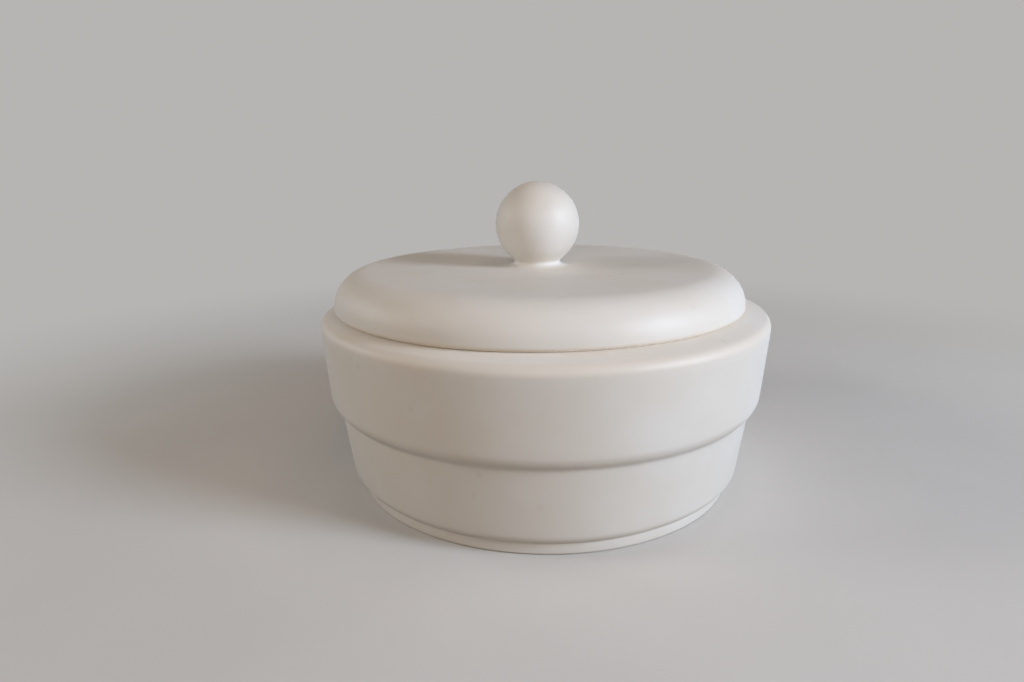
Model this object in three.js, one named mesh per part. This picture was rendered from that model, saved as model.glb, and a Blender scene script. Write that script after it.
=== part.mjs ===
// A low cookie jar in glazed stoneware: a jar with a stepped wall, a loose lid and a ball knob.
// Millimetres, +Z up. The origin is the middle of the foot, on the surface the jar stands on.

import * as THREE from 'three';

// Jar, outside. The radius of a tapered band is given at its sharp corner, before rounding.
const JAR_HEIGHT = 79.8;
const RIM_RADIUS = 100.4;
const RIM_DROP = 3.6;
const RIM_ROUNDING = 4.9;
const UPPER_DRAFT = THREE.MathUtils.degToRad(4.4);
const STEP_HEIGHT = 37.4;
const STEP_OVERHANG = 3.5;
const STEP_ROUNDING = 7.3;
const STEP_FILLET = 3;
const LOWER_DRAFT = THREE.MathUtils.degToRad(7.4);
const LOWER_EDGE_ROUNDING = 5.3;
const FOOT_HEIGHT = 5.2;
const FOOT_INSET = 3.5;
const FOOT_FILLET = 1.2;
const FOOT_EDGE_ROUNDING = 1;

// Jar, inside and underneath.
const WALL = 6.5;
const FLOOR = 7;
const FLOOR_CORNER_ROUNDING = 14;
const INNER_STEP_ROUNDING = 8;
const FOOT_RING_WIDTH = 7;
const FOOT_RECESS = 3;

// The rim narrows the mouth. Its inner part is a flat seat that carries the lid, and its outer part
// slopes down from just inside the lid's edge.
const RIM_WIDTH = 16.4;
const SEAT_INSET = 0.8;
const SEAT_EDGE_ROUNDING = 6;
const SEAT_LIP_HEIGHT = 8;
const SEAT_LIP_ROUNDING = 1.5;
const SEAT_UNDERSIDE_ROUNDING = 6;

// Lid. It lies loose on the seat, pushed over to one side of its play in the mouth.
const LID_INSET = 9;
const LID_HEIGHT = 16.1;
const LID_BEVEL_WIDTH = 0.5;
const LID_BEVEL_HEIGHT = 1.1;
const LID_SHOULDER_ROUNDING = 14.8;
const LID_WALL = 6.5;
const LID_HOLLOW_ROUNDING = 8;
const LID_PLAY = 3;
const LID_REST_GAP = 0.6;
const FLANGE_DEPTH = 10;
const FLANGE_THICKNESS = 5.5;
const FLANGE_DRAFT = THREE.MathUtils.degToRad(3);
const FLANGE_EDGE_ROUNDING = 1.5;

// Knob: a ball set on the lid with a fillet of slip round its base. A vent runs up into it from
// below, through the lid, so that the thick clay dries and fires without cracking.
const BALL_RADIUS = 18.8;
const BALL_SINK = 0.4;
const NECK_FILLET = 1.8;
const NECK_TOE_ANGLE = THREE.MathUtils.degToRad(20);
const VENT_RADIUS = 4;
const VENT_DEPTH = 22;

// Facets.
const ARC_TOLERANCE = 0.08;
const ARC_FEWEST_STEPS = 2;
const JAR_SEGMENTS = 60;
const KNOB_SEGMENTS = 36;

const QUARTER_TURN = Math.PI / 2;
const HALF_TURN = Math.PI;

const GLAZE_COLOUR = 0xe6e1d9;
const GLAZE_ROUGHNESS = 0.5;

// A profile point: distance from the axis, and height.
function at(radius, height) {
  return new THREE.Vector2(radius, height);
}

// A corner of a profile, to be rounded.
function corner(radius, height, rounding = 0) {
  return { point: at(radius, height), rounding };
}

// Points along an arc, both ends included, with chords that keep within the tolerance.
function arc(centre, radius, startAngle, endAngle) {
  const longestStep = 2 * Math.acos(1 - Math.min(ARC_TOLERANCE / radius, 1));
  const steps = Math.max(ARC_FEWEST_STEPS, Math.ceil(Math.abs(endAngle - startAngle) / longestStep));
  const points = [];
  for (let step = 0; step <= steps; step += 1) {
    const angle = THREE.MathUtils.lerp(startAngle, endAngle, step / steps);
    points.push(at(centre.x + radius * Math.cos(angle), centre.y + radius * Math.sin(angle)));
  }
  return points;
}

// The arc that rounds one corner between its neighbours, no larger than they leave room for.
function roundedCorner(before, { point, rounding }, after) {
  const backward = before.clone().sub(point);
  const forward = after.clone().sub(point);
  const halfAngle = Math.acos(backward.dot(forward) / (backward.length() * forward.length())) / 2;
  const room = Math.min(backward.length(), forward.length());
  const radius = Math.min(rounding, room * Math.tan(halfAngle));
  const inward = backward.normalize().add(forward.normalize()).normalize();
  const centre = point.clone().addScaledVector(inward, radius / Math.sin(halfAngle));
  const sweep = Math.PI - 2 * halfAngle;
  const middle = Math.atan2(-inward.y, -inward.x);
  const turnsLeft = backward.cross(forward) < 0;
  const side = turnsLeft ? 1 : -1;
  return arc(centre, radius, middle - (side * sweep) / 2, middle + (side * sweep) / 2);
}

// A run of straight lines with its corners rounded. The first and last corners stay as they are.
function roundedRun(corners) {
  const last = corners.length - 1;
  return corners.flatMap((current, index) => {
    const sharp = index === 0 || index === last || current.rounding === 0;
    if (sharp) return [current.point];
    const before = index === 1 ? corners[0].point : midway(corners[index - 1], current);
    const after = index === last - 1 ? corners[last].point : midway(current, corners[index + 1]);
    return roundedCorner(before, current, after);
  });
}

// The point that shares a straight line between its two corners, by the size of their roundings.
function midway(first, second) {
  const total = first.rounding + second.rounding;
  return first.point.clone().lerp(second.point, total > 0 ? first.rounding / total : 1 / 2);
}

// Radius of the jar's tapered bands at a height.
function upperBandRadius(height) {
  return RIM_RADIUS - (JAR_HEIGHT - height) * Math.tan(UPPER_DRAFT);
}

function lowerBandRadius(height) {
  const stepRadius = upperBandRadius(STEP_HEIGHT) - STEP_OVERHANG;
  return stepRadius - (STEP_HEIGHT - height) * Math.tan(LOWER_DRAFT);
}

// Radius of the same bands inside the wall.
function upperInnerRadius(height) {
  return upperBandRadius(height) - WALL / Math.cos(UPPER_DRAFT);
}

function lowerInnerRadius(height) {
  return lowerBandRadius(height) - WALL / Math.cos(LOWER_DRAFT);
}

const footRadius = lowerBandRadius(FOOT_HEIGHT) - FOOT_INSET;
const mouthRadius = RIM_RADIUS - RIM_WIDTH;
const lidRadius = RIM_RADIUS - LID_INSET;
const seatRadius = lidRadius - SEAT_INSET;
const lidTop = JAR_HEIGHT + LID_HEIGHT;

// A band's overhanging lower edge: from the wall below it, through the fillet in the crease, which is
// tangent to that wall and to the rounded edge, and on round the edge up to the band's taper.
function bandLowerEdge(band, below) {
  const edgeCentreHeight = band.edgeHeight + band.rounding;
  const edgeCentreRadius = band.radiusAt(edgeCentreHeight) - band.rounding / Math.cos(band.draft);
  const edgeCentre = at(edgeCentreRadius, edgeCentreHeight);
  const outward = at(Math.cos(below.draft), -Math.sin(below.draft));
  const upward = at(Math.sin(below.draft), Math.cos(below.draft));
  const filletCentre = at(below.radius, band.edgeHeight).addScaledVector(outward, band.fillet);
  const reach = filletCentre.clone().sub(edgeCentre);
  const drop = Math.sqrt((band.rounding + band.fillet) ** 2 - reach.dot(outward) ** 2);
  filletCentre.addScaledVector(upward, -reach.dot(upward) - drop);
  const meeting = edgeCentre.clone().sub(filletCentre).angle();
  return [
    ...arc(filletCentre, band.fillet, HALF_TURN - below.draft, meeting),
    ...arc(edgeCentre, band.rounding, meeting - HALF_TURN, -band.draft).slice(1),
  ];
}

// The rim's rounded outer corner, between the upper band's taper and the slope up to the seat.
function rimEdge() {
  const wallStart = STEP_HEIGHT + STEP_ROUNDING;
  const cornerHeight = JAR_HEIGHT - RIM_DROP;
  return roundedCorner(
    at(upperBandRadius(wallStart), wallStart),
    corner(upperBandRadius(cornerHeight), cornerHeight, RIM_ROUNDING),
    at(seatRadius, JAR_HEIGHT),
  );
}

// The foot ring and the shallow recess inside it.
function footProfile() {
  const ringInnerRadius = footRadius - FOOT_RING_WIDTH;
  return roundedRun([
    corner(0, FOOT_RECESS),
    corner(ringInnerRadius, FOOT_RECESS, FOOT_EDGE_ROUNDING),
    corner(ringInnerRadius, 0, FOOT_EDGE_ROUNDING),
    corner(footRadius, 0, FOOT_EDGE_ROUNDING),
    corner(footRadius, FOOT_HEIGHT),
  ]).slice(0, -1);
}

// The slope, the seat, the inside of the wall with its soft step, and the floor.
function insideProfile() {
  const slopeStart = rimEdge().at(-1);
  const floorTop = FOOT_RECESS + FLOOR;
  const lipBottom = JAR_HEIGHT - SEAT_LIP_HEIGHT;
  const undersideEnd = lipBottom - (upperInnerRadius(lipBottom) - mouthRadius);
  const stepTop = STEP_HEIGHT + STEP_ROUNDING + WALL;
  return roundedRun([
    corner(slopeStart.x, slopeStart.y),
    corner(seatRadius, JAR_HEIGHT, SEAT_EDGE_ROUNDING),
    corner(mouthRadius, JAR_HEIGHT, SEAT_LIP_ROUNDING),
    corner(mouthRadius, lipBottom, SEAT_LIP_ROUNDING),
    corner(upperInnerRadius(undersideEnd), undersideEnd, SEAT_UNDERSIDE_ROUNDING),
    corner(upperInnerRadius(stepTop), stepTop, INNER_STEP_ROUNDING),
    corner(lowerInnerRadius(STEP_HEIGHT), STEP_HEIGHT, INNER_STEP_ROUNDING),
    corner(lowerInnerRadius(floorTop), floorTop, FLOOR_CORNER_ROUNDING),
    corner(0, floorTop),
  ]).slice(1);
}

function jarProfile() {
  const lowerBand = {
    radiusAt: lowerBandRadius,
    draft: LOWER_DRAFT,
    edgeHeight: FOOT_HEIGHT,
    rounding: LOWER_EDGE_ROUNDING,
    fillet: FOOT_FILLET,
  };
  const upperBand = {
    radiusAt: upperBandRadius,
    draft: UPPER_DRAFT,
    edgeHeight: STEP_HEIGHT,
    rounding: STEP_ROUNDING,
    fillet: STEP_FILLET,
  };
  return [
    ...footProfile(),
    ...bandLowerEdge(lowerBand, { radius: footRadius, draft: 0 }),
    ...bandLowerEdge(upperBand, { radius: lowerBandRadius(STEP_HEIGHT), draft: LOWER_DRAFT }),
    ...rimEdge(),
    ...insideProfile(),
  ];
}

// The underside with its locating flange, the bevelled edge, the shoulder, the flat top and the vent.
function lidProfile() {
  const hollowTop = lidTop - LID_WALL;
  const flangeBottom = JAR_HEIGHT - FLANGE_DEPTH;
  const flangeRadius = mouthRadius - LID_PLAY;
  const flangeTipRadius = flangeRadius - FLANGE_DEPTH * Math.tan(FLANGE_DRAFT);
  const hollowRadius = flangeTipRadius - FLANGE_THICKNESS;
  return roundedRun([
    corner(VENT_RADIUS, hollowTop),
    corner(hollowRadius, hollowTop, LID_HOLLOW_ROUNDING),
    corner(hollowRadius, flangeBottom, FLANGE_EDGE_ROUNDING),
    corner(flangeTipRadius, flangeBottom, FLANGE_EDGE_ROUNDING),
    corner(flangeRadius, JAR_HEIGHT),
    corner(lidRadius - LID_BEVEL_WIDTH, JAR_HEIGHT),
    corner(lidRadius, JAR_HEIGHT + LID_BEVEL_HEIGHT),
    corner(lidRadius, lidTop, LID_SHOULDER_ROUNDING),
    corner(VENT_RADIUS, lidTop),
    corner(VENT_RADIUS, hollowTop),
  ]);
}

// The ball's middle, and the middle of the fillet that is tangent to the ball and to the lid's top.
const ballCentre = at(0, lidTop + BALL_RADIUS - BALL_SINK);

function filletCentre() {
  const height = lidTop + NECK_FILLET;
  const radius = Math.sqrt((BALL_RADIUS + NECK_FILLET) ** 2 - (ballCentre.y - height) ** 2);
  return at(radius, height);
}

// Where the fillet thins out on the lid, just short of a feather edge.
function knobToeRadius() {
  return filletCentre().x - NECK_FILLET * Math.sin(NECK_TOE_ANGLE);
}

function knobProfile() {
  const ventEnd = at(0, lidTop + VENT_DEPTH - VENT_RADIUS);
  const fillet = filletCentre();
  const neckAngle = Math.atan2(ballCentre.y - fillet.y, fillet.x);
  const toeStart = HALF_TURN + QUARTER_TURN - NECK_TOE_ANGLE;
  const neck = arc(fillet, NECK_FILLET, toeStart, HALF_TURN - neckAngle);
  const outside = arc(ballCentre, BALL_RADIUS, -neckAngle, QUARTER_TURN);
  return [
    ...arc(ventEnd, VENT_RADIUS, QUARTER_TURN, 0),
    at(VENT_RADIUS, lidTop),
    at(knobToeRadius(), lidTop),
    ...neck,
    ...outside.slice(1),
  ];
}

// A solid of revolution about +Z.
function turned(name, profile, segments) {
  const geometry = new THREE.LatheGeometry(profile, segments);
  geometry.rotateX(QUARTER_TURN);
  const material = new THREE.MeshStandardMaterial({
    color: GLAZE_COLOUR,
    roughness: GLAZE_ROUGHNESS,
    metalness: 0,
  });
  const mesh = new THREE.Mesh(geometry, material);
  mesh.name = name;
  return mesh;
}

const cover = new THREE.Group();
cover.position.x = LID_REST_GAP - LID_PLAY;
cover.add(turned('lid', lidProfile(), JAR_SEGMENTS));
cover.add(turned('lid_knob', knobProfile(), KNOB_SEGMENTS));

const cookieJar = new THREE.Group();
cookieJar.add(turned('jar_body', jarProfile(), JAR_SEGMENTS));
cookieJar.add(cover);

export default cookieJar;
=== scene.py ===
# A low cookie jar in satin glazed stoneware: a jar with a stepped wall, a loose lid and a ball knob.
# Metres, +Z up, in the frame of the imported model. The viewer stands on the -Y side, with +X to the right.

import math

import bpy
from mathutils import Color, Matrix, Vector, noise


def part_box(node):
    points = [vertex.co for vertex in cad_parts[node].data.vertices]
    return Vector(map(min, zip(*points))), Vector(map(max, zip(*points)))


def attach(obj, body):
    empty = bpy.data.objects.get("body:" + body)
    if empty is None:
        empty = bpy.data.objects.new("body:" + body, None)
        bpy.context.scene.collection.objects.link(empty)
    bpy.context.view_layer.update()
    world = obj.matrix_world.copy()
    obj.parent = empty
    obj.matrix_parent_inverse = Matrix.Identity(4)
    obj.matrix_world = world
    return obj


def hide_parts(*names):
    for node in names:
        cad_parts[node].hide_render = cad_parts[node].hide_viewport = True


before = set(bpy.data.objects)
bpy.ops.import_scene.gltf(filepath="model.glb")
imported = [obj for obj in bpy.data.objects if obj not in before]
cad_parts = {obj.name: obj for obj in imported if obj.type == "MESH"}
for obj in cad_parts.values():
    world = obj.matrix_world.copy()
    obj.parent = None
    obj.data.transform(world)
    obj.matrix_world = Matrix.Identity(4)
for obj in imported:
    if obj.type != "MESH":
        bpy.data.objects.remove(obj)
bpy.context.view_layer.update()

jar_low, jar_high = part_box("jar_body")
lid_low, lid_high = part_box("lid")
knob_low, knob_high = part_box("lid_knob")

# Camera, in pixels of the photograph, metres and radians.
IMAGE_WIDTH = 1024
FOCAL_LENGTH = 683
SENSOR_WIDTH = 36
CAMERA_PLACE = Vector((0, -0.3112, 0.1419))
CAMERA_YAW = -0.0464
CAMERA_PITCH = 0.2579
CAMERA_ROLL = -0.0123
CAMERA_NEAREST = 0.01

# Jar, outside. The radius of a tapered band is given at its sharp corner, before rounding.
JAR_AXIS = Vector((0, 0))
JAR_HEIGHT = jar_high.z
RIM_RADIUS = 0.1004
RIM_DROP = 0.0033
RIM_ROUNDING = 0.0046
UPPER_DRAFT = math.radians(4.4)
STEP_HEIGHT = 0.0374
STEP_OVERHANG = 0.0035
STEP_ROUNDING = 0.0073
STEP_FILLET = 0.0036
LOWER_DRAFT = math.radians(7.4)
LOWER_EDGE_ROUNDING = 0.0053
FOOT_HEIGHT = 0.0052
FOOT_INSET = 0.0035
FOOT_FILLET = 0.0012
FOOT_EDGE_ROUNDING = 0.001

# Jar, inside and underneath.
WALL = 0.0065
FLOOR = 0.007
FLOOR_CORNER_ROUNDING = 0.014
INNER_STEP_ROUNDING = 0.008
FOOT_RING_WIDTH = 0.007
FOOT_RECESS = 0.003

# The rim: a flat seat for the lid, and a slope from just inside the lid's edge to the outer corner.
RIM_WIDTH = 0.0164
SEAT_INSET = 0.0014
SEAT_EDGE_ROUNDING = 0.006
SEAT_LIP_HEIGHT = 0.008
SEAT_LIP_ROUNDING = 0.0015
SEAT_UNDERSIDE_ROUNDING = 0.006

# Lid.
COVER_AXIS = Vector(((lid_low.x + lid_high.x) / 2, 0))
LID_RADIUS = (lid_high.x - lid_low.x) / 2
LID_TOP = lid_high.z
LID_BEVEL_WIDTH = 0.0006
LID_BEVEL_HEIGHT = 0.0009
LID_BEVEL_ROUNDING = 0.001
LID_SHOULDER_ROUNDING = 0.0148
LID_WALL = 0.0065
LID_HOLLOW_ROUNDING = 0.008
FLANGE_BOTTOM = lid_low.z
FLANGE_PLAY = 0.003
FLANGE_THICKNESS = 0.0055
FLANGE_DRAFT = math.radians(3)
FLANGE_EDGE_ROUNDING = 0.0015

# Knob.
BALL_RADIUS = (knob_high.x - knob_low.x) / 2
BALL_HEIGHT = knob_high.z - BALL_RADIUS
NECK_FILLET = 0.0015
NECK_FLARE = 0.005
NECK_FLARE_ANGLE = math.radians(30)
NECK_BEDDING = 0.00005
VENT_RADIUS = 0.004
VENT_DEPTH = 0.022

# How finely the surfaces are divided, and how far the glaze softens what lies under it.
QUARTER_TURN = math.pi / 2
ARC_STEP = math.radians(3)
POINT_SPACING = 0.00025
SOFTENING_PASSES = 14
LARGEST_TURN = math.radians(4)
LONGEST_RUN = 0.003
AXIS_TOLERANCE = 1e-7
JAR_SEGMENTS = 288
KNOB_SEGMENTS = 160
UNEVENNESS = 0.001
UNEVENNESS_WAVES = 22

# Where the glaze thins or gathers: the radius of an edge or a crease at which it does so fully.
EDGE_REACH = 0.003
CREASE_REACH = 0.0015

# Where it is wiped off, which on the lid's lower edge also paints warm bounce light along the seam: how
# near to the touching surface, and how level a place has to be.
WIPED_HEIGHT = 0.0003
WIPED_EDGE_AND_SEAM_BOUNCE = 0.0008
LEVEL_ENOUGH = 0.98

# The glaze's fine texture: waves and cells per metre, heights in metres, and the rest in shares.
NOISE_DETAIL = 3
NOISE_ROUGHNESS = 0.5
CLOUD_WAVES = 26
CLOUD_RANGE = (0.35, 0.65)
MOTTLE_WAVES = 420
MOTTLE_RANGE = (0.3, 0.7)
RIPPLE_WAVES = 160
RIPPLE_HEIGHT = 0.0002
SKIN_HEIGHT = 0.0001
SKIN_STRENGTH = 0.1
SATIN_ROUGHNESS = (0.48, 0.56)
BARE_EXTRA_ROUGHNESS = 0.35
GLAZE_IOR = 1.5
BEND_START = 0.1
MOST_THINNED = 0.3
MOST_GATHERED = 0.7
CLAY_WAVES = 900
CLAY_RANGE = (0.35, 0.65)

# Dots scattered in the glaze. Core and rim are shares of a cell.
SPECK_CELLS = 90
SPECK_SHARE = 0.3
SPECK_CORE = 0
SPECK_RIM = 0.2
SPECK_STRENGTH = 0.15
PINHOLE_CELLS = 330
PINHOLE_SHARE = 0.08
PINHOLE_CORE = 0.02
PINHOLE_RIM = 0.12
PINHOLE_DEPTH = 0.0001
PINHOLE_STRENGTH = 0.3

# Colours, as they look in daylight, in red, green and blue from 0 to 255.
FULL_CHANNEL = 255
GLAZE_PALE = (229, 225, 218)
GLAZE_WARM = (226, 220, 210)
GLAZE_THIN = (214, 198, 176)
GLAZE_THICK = (222, 217, 209)
GLAZE_SPECK = (168, 158, 144)
# Bare clay. On the lid's lower edge along the seam, this tan also stands in for warm light bounced into the
# seam: painted bounce light.
CLAY_AND_SEAM_BOUNCE_PALE = (229, 219, 205)
CLAY_AND_SEAM_BOUNCE_DARK = (219, 206, 189)
FLOOR_PALE = (220, 218, 214)
FLOOR_SHADE = (214, 212, 208)
FLOOR_UNLIT = (0, 0, 0)
FLOOR_BOUNCE = (161, 156, 149)
BACKDROP_GLOW = (255, 253, 250)

# Stage.
FLOOR_RADIUS = 1.6
SWEEP_ROUNDING = 0.8
BACKDROP_HEIGHT = 2.4
GLOW_START = 0.12
GLOW_END = 0.6
GLOW_STRENGTH = 0.47
FLOOR_WAVES = 6
FLOOR_RANGE = (0.3, 0.7)
STAGE_SEGMENTS = 96
WORLD_COLOUR = (1, 1, 1, 1)
WORLD_STRENGTH = 0.01

# Lamps. Their colours are shares of red, green and blue light.
LAMP_TARGET = Vector((0, 0, 0.06))
LAMP_DISTANCE = 1.2
DAYLIGHT = (0.72, 0.83, 1)
INDOOR_LIGHT = (1, 0.82, 0.67)
WALL_LIGHT = (1, 0.97, 0.93)
CEILING_LIGHT = (1, 0.77, 0.6)
FILL_LIGHT = (1, 0.93, 0.85)


# Profiles: a list of points, each a distance from the axis and a height.

def at(radius, height):
    return Vector((radius, height))


def arc(centre, radius, start, end):
    """Points on an arc from one angle to another."""
    steps = max(1, math.ceil(abs(end - start) / ARC_STEP))
    angles = [start + (end - start) * step / steps for step in range(steps + 1)]
    return [centre + radius * at(math.cos(angle), math.sin(angle)) for angle in angles]


def rounded_corner(before, point, after, rounding):
    """The arc that rounds a corner, from the side before it to the side after it."""
    backward = (before - point).normalized()
    forward = (after - point).normalized()
    inward = (backward + forward).normalized()
    half_angle = backward.angle(forward) / 2
    centre = point + inward * (rounding / math.sin(half_angle))
    middle = math.atan2(-inward.y, -inward.x)
    half_sweep = math.copysign(QUARTER_TURN - half_angle, -backward.cross(forward))
    return arc(centre, rounding, middle - half_sweep, middle + half_sweep)


def rounded_run(corners):
    """Straight lines through corners of (radius, height, rounding). The first and last stay sharp."""
    points = [at(radius, height) for radius, height, rounding in corners]
    run = [points[0]]
    for index in range(1, len(corners) - 1):
        rounding = corners[index][2]
        run += rounded_corner(points[index - 1], points[index], points[index + 1], rounding)
    return run + [points[-1]]


def upper_band_radius(height):
    return RIM_RADIUS - (JAR_HEIGHT - height) * math.tan(UPPER_DRAFT)


def lower_band_radius(height):
    step_radius = upper_band_radius(STEP_HEIGHT) - STEP_OVERHANG
    return step_radius - (STEP_HEIGHT - height) * math.tan(LOWER_DRAFT)


def upper_inner_radius(height):
    return upper_band_radius(height) - WALL / math.cos(UPPER_DRAFT)


def lower_inner_radius(height):
    return lower_band_radius(height) - WALL / math.cos(LOWER_DRAFT)


FOOT_RADIUS = lower_band_radius(FOOT_HEIGHT) - FOOT_INSET
MOUTH_RADIUS = RIM_RADIUS - RIM_WIDTH
SEAT_RADIUS = LID_RADIUS - SEAT_INSET


def band_lower_edge(band_radius, draft, edge_height, rounding, fillet, radius_below, draft_below):
    """From the wall below, through the fillet in the crease and round the lower edge, up to the taper."""
    centre_height = edge_height + rounding
    centre = at(band_radius(centre_height) - rounding / math.cos(draft), centre_height)
    outward = at(math.cos(draft_below), -math.sin(draft_below))
    upward = at(math.sin(draft_below), math.cos(draft_below))
    reach = at(radius_below, edge_height) + outward * fillet - centre
    rise = reach.dot(upward)
    drop = rise + math.sqrt(rise ** 2 - reach.length_squared + (rounding + fillet) ** 2)
    towards_edge = -(reach - upward * drop)
    meeting = math.atan2(towards_edge.y, towards_edge.x)
    return [
        *arc(centre - towards_edge, fillet, math.pi - draft_below, meeting),
        *arc(centre, rounding, meeting - math.pi, -draft)[1:],
    ]


def rim_edge():
    """The rounded corner between the tapered wall and the slope up to the lid's seat."""
    corner_height = JAR_HEIGHT - RIM_DROP
    return rounded_corner(
        at(upper_band_radius(STEP_HEIGHT), STEP_HEIGHT),
        at(upper_band_radius(corner_height), corner_height),
        at(SEAT_RADIUS, JAR_HEIGHT),
        RIM_ROUNDING,
    )


def foot_profile():
    ring_inner_radius = FOOT_RADIUS - FOOT_RING_WIDTH
    return rounded_run([
        (0, FOOT_RECESS, 0),
        (ring_inner_radius, FOOT_RECESS, FOOT_EDGE_ROUNDING),
        (ring_inner_radius, 0, FOOT_EDGE_ROUNDING),
        (FOOT_RADIUS, 0, FOOT_EDGE_ROUNDING),
        (FOOT_RADIUS, FOOT_HEIGHT, 0),
    ])


def inside_profile():
    floor_top = FOOT_RECESS + FLOOR
    lip_bottom = JAR_HEIGHT - SEAT_LIP_HEIGHT
    underside_end = lip_bottom - (upper_inner_radius(lip_bottom) - MOUTH_RADIUS)
    step_top = STEP_HEIGHT + STEP_ROUNDING + WALL
    rim = rim_edge()[-1]
    return rounded_run([
        (rim.x, rim.y, 0),
        (SEAT_RADIUS, JAR_HEIGHT, SEAT_EDGE_ROUNDING),
        (MOUTH_RADIUS, JAR_HEIGHT, SEAT_LIP_ROUNDING),
        (MOUTH_RADIUS, lip_bottom, SEAT_LIP_ROUNDING),
        (upper_inner_radius(underside_end), underside_end, SEAT_UNDERSIDE_ROUNDING),
        (upper_inner_radius(step_top), step_top, INNER_STEP_ROUNDING),
        (lower_inner_radius(STEP_HEIGHT), STEP_HEIGHT, INNER_STEP_ROUNDING),
        (lower_inner_radius(floor_top), floor_top, FLOOR_CORNER_ROUNDING),
        (0, floor_top, 0),
    ])[1:]


def jar_profile():
    return [
        *foot_profile()[:-1],
        *band_lower_edge(
            lower_band_radius, LOWER_DRAFT, FOOT_HEIGHT, LOWER_EDGE_ROUNDING, FOOT_FILLET, FOOT_RADIUS, 0
        ),
        *band_lower_edge(
            upper_band_radius, UPPER_DRAFT, STEP_HEIGHT, STEP_ROUNDING, STEP_FILLET,
            lower_band_radius(STEP_HEIGHT), LOWER_DRAFT,
        ),
        *rim_edge(),
        *inside_profile(),
    ]


def neck_fillet_centre():
    """The fillet touches the ball, and passes into a wider flare that runs out onto the lid's top."""
    height = LID_TOP + NECK_FLARE - (NECK_FLARE - NECK_FILLET) * math.cos(NECK_FLARE_ANGLE)
    return at(math.sqrt((BALL_RADIUS + NECK_FILLET) ** 2 - (BALL_HEIGHT - height) ** 2), height)


def lid_underside():
    """From the vent through the hollow and round the flange to the resting ring's outer edge."""
    hollow_top = LID_TOP - LID_WALL
    flange_radius = MOUTH_RADIUS - FLANGE_PLAY
    flange_tip_radius = flange_radius - (JAR_HEIGHT - FLANGE_BOTTOM) * math.tan(FLANGE_DRAFT)
    hollow_radius = flange_tip_radius - FLANGE_THICKNESS
    return rounded_run([
        (VENT_RADIUS, hollow_top, 0),
        (hollow_radius, hollow_top, LID_HOLLOW_ROUNDING),
        (hollow_radius, FLANGE_BOTTOM, FLANGE_EDGE_ROUNDING),
        (flange_tip_radius, FLANGE_BOTTOM, FLANGE_EDGE_ROUNDING),
        (flange_radius, JAR_HEIGHT, FLANGE_EDGE_ROUNDING),
        (LID_RADIUS - LID_BEVEL_WIDTH, JAR_HEIGHT, 0),
    ])


def lid_outside():
    """From the resting ring up over the bevel, the wall and the shoulder to the flat top."""
    return rounded_run([
        (LID_RADIUS - LID_BEVEL_WIDTH, JAR_HEIGHT, 0),
        (LID_RADIUS, JAR_HEIGHT + LID_BEVEL_HEIGHT, LID_BEVEL_ROUNDING),
        (LID_RADIUS, LID_TOP, LID_SHOULDER_ROUNDING),
        (VENT_RADIUS, LID_TOP, 0),
    ])


def vent_profile():
    vent_end = at(0, LID_TOP + VENT_DEPTH - VENT_RADIUS)
    return [*arc(vent_end, VENT_RADIUS, QUARTER_TURN, 0), at(VENT_RADIUS, LID_TOP - NECK_BEDDING)]


def knob_profile():
    """From the flare's thin edge, which is bedded in the lid's top, round the ball to its top."""
    fillet = neck_fillet_centre()
    neck_angle = math.atan2(BALL_HEIGHT - fillet.y, fillet.x)
    straight_down = 3 * QUARTER_TURN
    flare_end = straight_down - NECK_FLARE_ANGLE
    along_flare = at(math.sin(NECK_FLARE_ANGLE), math.cos(NECK_FLARE_ANGLE))
    flare = fillet + (NECK_FLARE - NECK_FILLET) * along_flare
    return [
        at(flare.x + NECK_FILLET, LID_TOP - NECK_BEDDING),
        *arc(flare, NECK_FLARE, straight_down, flare_end),
        *arc(fillet, NECK_FILLET, flare_end, math.pi - neck_angle)[1:],
        *arc(at(0, BALL_HEIGHT), BALL_RADIUS, -neck_angle, QUARTER_TURN)[1:],
    ]


# The glaze: what lies under it comes out softened, thin over edges and gathered in creases.

def evenly_spaced(points):
    spaced = []
    for first, second in zip(points, points[1:]):
        steps = max(1, round((second - first).length / POINT_SPACING))
        spaced += [first.lerp(second, step / steps) for step in range(steps)]
    return spaced + [points[-1]]


def softened(points):
    """Each pass moves a point halfway to the middle of its neighbours. The ends stay where they are."""
    for _ in range(SOFTENING_PASSES):
        trios = zip(points, points[1:], points[2:])
        moved = [(before + 2 * point + after) / 4 for before, point, after in trios]
        points = [points[0], *moved, points[-1]]
    return points


def turn_at(before, point, after):
    """The angle by which a line turns at a point, positive to the left."""
    first = point - before
    second = after - point
    return math.atan2(first.cross(second), first.dot(second))


def thinned(points):
    """Leaves out points on straight and gently curved stretches."""
    kept = points[:2]
    turned_by = 0
    for before, point, after in zip(points[1:], points[2:], points[3:]):
        turned_by += turn_at(before, point, after)
        if abs(turned_by) > LARGEST_TURN or (point - kept[-1]).length > LONGEST_RUN:
            kept.append(point)
            turned_by = 0
    return kept + [points[-1]]


def glazed(profile):
    return thinned(softened(evenly_spaced(profile)))


# Turned meshes.

def neighbours(profile, closed):
    """Each point with the one before it and the one after it."""
    before = profile[-1:] + profile[:-1]
    after = profile[1:] + profile[:1]
    if not closed:
        before[0] = profile[0]
        after[-1] = profile[-1]
    return zip(before, profile, after)


def outward_normals(profile, closed):
    directions = [after - before for before, point, after in neighbours(profile, closed)]
    return [at(direction.y, -direction.x).normalized() for direction in directions]


def bends(profile, closed):
    """One over the radius of curvature at each point, positive on an edge and negative in a crease."""
    found = []
    for before, point, after in neighbours(profile, closed):
        length = ((point - before).length + (after - point).length) / 2
        found.append(turn_at(before, point, after) / length)
    return found


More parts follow.
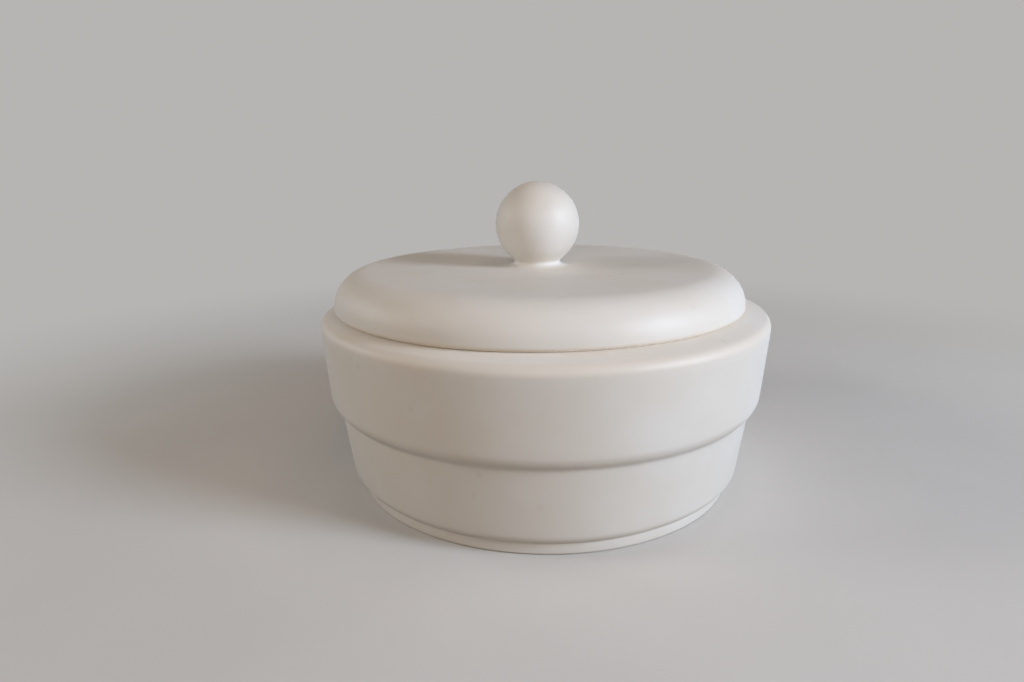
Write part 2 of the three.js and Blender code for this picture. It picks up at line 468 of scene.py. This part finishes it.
def wiped_and_seam_bounce(point, normal):
    """One where pieces touch in the kiln and are wiped free of glaze: foot, seat and resting ring. On the
    resting ring, the lid's lower edge along the seam, the clay's tan also stands in for warm light bounced
    into the seam: painted bounce light.
    """
    above_seat = point.y - JAR_HEIGHT
    foot = point.y < WIPED_HEIGHT and normal.y < -LEVEL_ENOUGH
    always_covered = point.x < LID_RADIUS - FLANGE_PLAY
    seat = abs(above_seat) < WIPED_HEIGHT and normal.y > LEVEL_ENOUGH and always_covered
    # The lid's lower edge: bare clay, and painted warm bounce light along the seam.
    resting_ring_and_seam_bounce = abs(above_seat) < WIPED_EDGE_AND_SEAM_BOUNCE and normal.y < 0
    return float(foot or seat or resting_ring_and_seam_bounce)


def turned_rings(profile, axis, segments):
    """Vertices in rings about the axis. A point on the axis is a ring of one."""
    vertices = []
    rings = []
    for point in profile:
        count = 1 if point.x < AXIS_TOLERANCE else segments
        rings.append(range(len(vertices), len(vertices) + count))
        for index in range(count):
            angle = 2 * math.pi * index / segments
            around = Vector((math.cos(angle), math.sin(angle)))
            vertices.append(Vector((*(axis + around * point.x), point.y)))
    return vertices, rings


def uneven(place):
    """A place on the ware after firing: drawn in a little, more here and less there."""
    dent = (1 + noise.noise(place * UNEVENNESS_WAVES)) / 2
    return place * (1 - UNEVENNESS * dent)


def ring_faces(first, second):
    count = max(len(first), len(second))
    faces = []
    for index in range(count):
        following = (index + 1) % count
        if len(first) == 1:
            faces.append((first[0], second[following], second[index]))
        elif len(second) == 1:
            faces.append((first[index], first[following], second[0]))
        else:
            faces.append((first[index], first[following], second[following], second[index]))
    return faces


def as_share(value):
    return min(1, max(0, value))


def add_ring_attribute(mesh, name, rings, values):
    """Gives every vertex of a ring the ring's value."""
    spread = [value for ring, value in zip(rings, values) for vertex in ring]
    mesh.attributes.new(name, "FLOAT", "POINT").data.foreach_set("value", spread)


def turned(name, profile, axis, segments, closed=False):
    """A smooth object of revolution, with the glaze's thin, thick and bare places marked on it. The bare
    mark also carries the painted warm bounce light on the lid's lower edge along the seam.
    """
    vertices, rings = turned_rings(profile, axis, segments)
    pairs = zip(rings, rings[1:] + rings[:1] if closed else rings[1:])
    faces = [face for first, second in pairs for face in ring_faces(first, second)]
    mesh = bpy.data.meshes.new(name)
    mesh.from_pydata([uneven(vertex) for vertex in vertices], [], faces)
    mesh.shade_smooth()
    curvature = bends(profile, closed)
    add_ring_attribute(mesh, "edge", rings, [as_share(bend * EDGE_REACH) for bend in curvature])
    add_ring_attribute(mesh, "crease", rings, [as_share(-bend * CREASE_REACH) for bend in curvature])
    normals = outward_normals(profile, closed)
    add_ring_attribute(mesh, "bare_and_seam_bounce", rings, [wiped_and_seam_bounce(*ring) for ring in zip(profile, normals)])
    made = bpy.data.objects.new(name, mesh)
    bpy.context.scene.collection.objects.link(made)
    return made


# Materials.

def linear(colour):
    """A colour of 0 to 255 as the renderer takes it."""
    shares = Color([channel / FULL_CHANNEL for channel in colour])
    return (*shares.from_srgb_to_scene_linear(), 1)


def feed(tree, socket, value):
    """Links another node's output to a socket, or sets the socket to a plain value."""
    if isinstance(value, bpy.types.NodeSocket):
        tree.links.new(value, socket)
    else:
        socket.default_value = value


def add_node(tree, kind, inputs=None, **settings):
    """A node with its settings, and its inputs set to values or linked to other nodes' outputs."""
    node = tree.nodes.new(kind)
    for name, value in settings.items():
        setattr(node, name, value)
    for name, value in (inputs or {}).items():
        feed(tree, node.inputs[name], value)
    return node


def noise_texture(tree, place, waves):
    inputs = {"Vector": place, "Scale": waves, "Detail": NOISE_DETAIL, "Roughness": NOISE_ROUGHNESS}
    return add_node(tree, "ShaderNodeTexNoise", inputs).outputs["Fac"]


def ranged(tree, value, low, high, first=0.0, last=1.0):
    """Takes a value from low..high to first..last, smoothly and no further."""
    inputs = {"Value": value, "From Min": low, "From Max": high, "To Min": first, "To Max": last}
    return add_node(tree, "ShaderNodeMapRange", inputs, interpolation_type="SMOOTHSTEP").outputs["Result"]


def combined(tree, operation, first, second):
    return add_node(tree, "ShaderNodeMath", {0: first, 1: second}, operation=operation).outputs["Value"]


def product(tree, first, second):
    return combined(tree, "MULTIPLY", first, second)


def mixed(tree, factor, first, second):
    node = add_node(tree, "ShaderNodeMix", data_type="RGBA")
    sockets = {socket.identifier: socket for socket in node.inputs}
    wanted = {"Factor_Float": factor, "A_Color": first, "B_Color": second}
    for name, value in wanted.items():
        feed(tree, sockets[name], value)
    return next(socket for socket in node.outputs if socket.identifier == "Result_Color")


def attribute(tree, name):
    return add_node(tree, "ShaderNodeAttribute", attribute_name=name).outputs["Fac"]


def object_place(tree):
    return add_node(tree, "ShaderNodeTexCoord").outputs["Object"]


def scattered_dots(tree, place, cells, share, core, rim):
    """Soft round dots in a share of the cells of a scatter. Core and rim are shares of a cell."""
    scatter = add_node(tree, "ShaderNodeTexVoronoi", {"Vector": place, "Scale": cells})
    chance = add_node(tree, "ShaderNodeSeparateColor", {"Color": scatter.outputs["Color"]})
    chosen = ranged(tree, chance.outputs["Red"], 1 - share, 1 - share / 2)
    dots = ranged(tree, scatter.outputs["Distance"], core, rim, 1.0, 0.0)
    return product(tree, dots, chosen)


def bumped(tree, height, distance, strength, normal=None):
    inputs = {"Height": height, "Distance": distance, "Strength": strength}
    if normal is not None:
        inputs["Normal"] = normal
    return add_node(tree, "ShaderNodeBump", inputs).outputs["Normal"]


def new_material(name):
    material = bpy.data.materials.new(name)
    material.use_nodes = True
    tree = material.node_tree
    tree.nodes.clear()
    shader = add_node(tree, "ShaderNodeBsdfPrincipled")
    add_node(tree, "ShaderNodeOutputMaterial", {"Surface": shader.outputs["BSDF"]})
    return material, tree, shader


def clay_and_seam_bounce_colour(tree, place):
    grain = ranged(tree, noise_texture(tree, place, CLAY_WAVES), *CLAY_RANGE)
    return mixed(tree, grain, linear(CLAY_AND_SEAM_BOUNCE_PALE), linear(CLAY_AND_SEAM_BOUNCE_DARK))


def glaze_colour(tree, place):
    cloud = ranged(tree, noise_texture(tree, place, CLOUD_WAVES), *CLOUD_RANGE)
    colour = mixed(tree, cloud, linear(GLAZE_PALE), linear(GLAZE_WARM))
    thin = ranged(tree, attribute(tree, "edge"), BEND_START, 1, 0, MOST_THINNED)
    colour = mixed(tree, thin, colour, linear(GLAZE_THIN))
    gathered = ranged(tree, attribute(tree, "crease"), BEND_START, 1, 0, MOST_GATHERED)
    colour = mixed(tree, gathered, colour, linear(GLAZE_THICK))
    specks = scattered_dots(tree, place, SPECK_CELLS, SPECK_SHARE, SPECK_CORE, SPECK_RIM)
    colour = mixed(tree, product(tree, specks, SPECK_STRENGTH), colour, linear(GLAZE_SPECK))
    # Bare clay where wiped; on the lid's lower edge this is also painted warm bounce light along the seam.
    return mixed(tree, attribute(tree, "bare_and_seam_bounce"), colour, clay_and_seam_bounce_colour(tree, place))


def glaze_roughness(tree, mottle):
    satin = ranged(tree, mottle, *MOTTLE_RANGE, *SATIN_ROUGHNESS)
    bare_and_seam_bounce = product(tree, attribute(tree, "bare_and_seam_bounce"), BARE_EXTRA_ROUGHNESS)
    return combined(tree, "ADD", satin, bare_and_seam_bounce)


def glaze_material():
    material, tree, shader = new_material("satin_glaze")
    place = object_place(tree)
    mottle = noise_texture(tree, place, MOTTLE_WAVES)
    pinholes = scattered_dots(tree, place, PINHOLE_CELLS, PINHOLE_SHARE, PINHOLE_CORE, PINHOLE_RIM)
    ripple = bumped(tree, noise_texture(tree, place, RIPPLE_WAVES), RIPPLE_HEIGHT, SKIN_STRENGTH)
    skin = bumped(tree, mottle, SKIN_HEIGHT, SKIN_STRENGTH, ripple)
    unpitted = ranged(tree, pinholes, 0, 1, 1, 0)
    pitted = bumped(tree, unpitted, PINHOLE_DEPTH, PINHOLE_STRENGTH, skin)
    wanted = {
        "Base Color": glaze_colour(tree, place),
        "Roughness": glaze_roughness(tree, mottle),
        "Normal": pitted,
    }
    for name, output in wanted.items():
        tree.links.new(output, shader.inputs[name])
    shader.inputs["IOR"].default_value = GLAZE_IOR
    return material


def seen_directly(tree):
    """One for rays that show the floor itself, zero for the light that the floor throws back."""
    path = add_node(tree, "ShaderNodeLightPath").outputs
    seen = path["Is Camera Ray"]
    for name in ("Is Glossy Ray", "Is Transmission Ray"):
        seen = combined(tree, "MAXIMUM", seen, path[name])
    return seen


def floor_material():
    """A pale matte floor, lit by the lamps near the jar and shown evenly bright further off."""
    material, tree, shader = new_material("studio_floor")
    place = object_place(tree)
    seen = seen_directly(tree)
    grain = ranged(tree, noise_texture(tree, place, FLOOR_WAVES), *FLOOR_RANGE)
    lit = mixed(tree, grain, linear(FLOOR_PALE), linear(FLOOR_SHADE))
    distance = add_node(tree, "ShaderNodeVectorMath", {0: place}, operation="LENGTH").outputs["Value"]
    shown = mixed(tree, ranged(tree, distance, GLOW_START, GLOW_END), lit, linear(FLOOR_UNLIT))
    glow = ranged(tree, distance, GLOW_START, GLOW_END, 0, GLOW_STRENGTH)
    tree.links.new(mixed(tree, seen, linear(FLOOR_BOUNCE), shown), shader.inputs["Base Color"])
    tree.links.new(product(tree, seen, glow), shader.inputs["Emission Strength"])
    shader.inputs["Emission Color"].default_value = linear(BACKDROP_GLOW)
    shader.inputs["Roughness"].default_value = 1
    shader.inputs["Specular IOR Level"].default_value = 0
    return material


# Pieces.

def dress(piece, body, node, material):
    piece.data.materials.append(material)
    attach(piece, body)
    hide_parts(node)


def make_pieces():
    glaze = glaze_material()
    jar = turned("jar", glazed(jar_profile()), JAR_AXIS, JAR_SEGMENTS)
    lid_profile = lid_underside() + glazed(lid_outside())[1:]
    lid = turned("lid_cover", lid_profile, COVER_AXIS, JAR_SEGMENTS, closed=True)
    knob = turned("ball_knob", vent_profile() + glazed(knob_profile()), COVER_AXIS, KNOB_SEGMENTS)
    dress(jar, "jar", "jar_body", glaze)
    dress(lid, "cover", "lid", glaze)
    dress(knob, "cover", "lid_knob", glaze)


# Stage, lamps and camera.

def make_stage():
    sweep_middle = at(FLOOR_RADIUS, SWEEP_ROUNDING)
    sweep = arc(sweep_middle, SWEEP_ROUNDING, -QUARTER_TURN, 0)
    profile = [at(0, 0), *sweep, at(sweep[-1].x, BACKDROP_HEIGHT)]
    floor = turned("studio_floor", profile[::-1], JAR_AXIS, STAGE_SEGMENTS)
    floor.data.materials.append(floor_material())


def make_lamp(name, azimuth, elevation, size, power, colour):
    """A round lamp that faces the jar. Azimuth is in degrees from the viewer's side round to the right."""
    around = math.radians(azimuth)
    above = math.radians(elevation)
    level = math.cos(above)
    towards = Vector((math.sin(around) * level, -math.cos(around) * level, math.sin(above)))
    light = bpy.data.lights.new(name, "AREA")
    light.shape = "DISK"
    light.size = size
    light.energy = power
    light.color = colour
    lamp = bpy.data.objects.new(name, light)
    lamp.location = LAMP_TARGET + towards * LAMP_DISTANCE
    lamp.rotation_mode = "QUATERNION"
    lamp.rotation_quaternion = towards.to_track_quat("Z", "Y")
    lamp.visible_camera = False
    bpy.context.scene.collection.objects.link(lamp)


def make_lamps():
    """The lamp behind stands so low that it lights the jar's back and not the lid's top."""
    make_lamp("window", azimuth=65, elevation=20, size=0.4, power=12.9, colour=DAYLIGHT)
    make_lamp("front", azimuth=0, elevation=25, size=0.8, power=3.2, colour=INDOOR_LIGHT)
    make_lamp("left", azimuth=-80, elevation=25, size=0.4, power=3, colour=WALL_LIGHT)
    make_lamp("left_back", azimuth=-108, elevation=17, size=0.3, power=1.5, colour=DAYLIGHT)
    make_lamp("overhead", azimuth=60, elevation=70, size=0.8, power=2.3, colour=CEILING_LIGHT)
    make_lamp("behind", azimuth=180, elevation=-0.5, size=0.08, power=4, colour=FILL_LIGHT)


def make_world():
    world = bpy.data.worlds.new("studio")
    world.use_nodes = True
    background = world.node_tree.nodes["Background"]
    background.inputs["Color"].default_value = WORLD_COLOUR
    background.inputs["Strength"].default_value = WORLD_STRENGTH
    bpy.context.scene.world = world


def make_camera():
    level = math.cos(CAMERA_PITCH)
    forward = Vector((math.sin(CAMERA_YAW) * level, math.cos(CAMERA_YAW) * level, -math.sin(CAMERA_PITCH)))
    level_right = Vector((math.cos(CAMERA_YAW), -math.sin(CAMERA_YAW), 0))
    level_up = level_right.cross(forward)
    right = level_right * math.cos(CAMERA_ROLL) + level_up * math.sin(CAMERA_ROLL)
    up = level_up * math.cos(CAMERA_ROLL) - level_right * math.sin(CAMERA_ROLL)
    data = bpy.data.cameras.new("camera")
    data.sensor_fit = "HORIZONTAL"
    data.sensor_width = SENSOR_WIDTH
    data.lens = SENSOR_WIDTH * FOCAL_LENGTH / IMAGE_WIDTH
    data.clip_start = CAMERA_NEAREST
    camera = bpy.data.objects.new("camera", data)
    turn = Matrix((right, up, -forward)).transposed().to_4x4()
    camera.matrix_world = Matrix.Translation(CAMERA_PLACE) @ turn
    bpy.context.scene.collection.objects.link(camera)
    bpy.context.scene.camera = camera


bpy.context.scene.view_settings.view_transform = "Standard"
make_camera()
make_pieces()
make_stage()
make_lamps()
make_world()

bpy.context.view_layer.update()
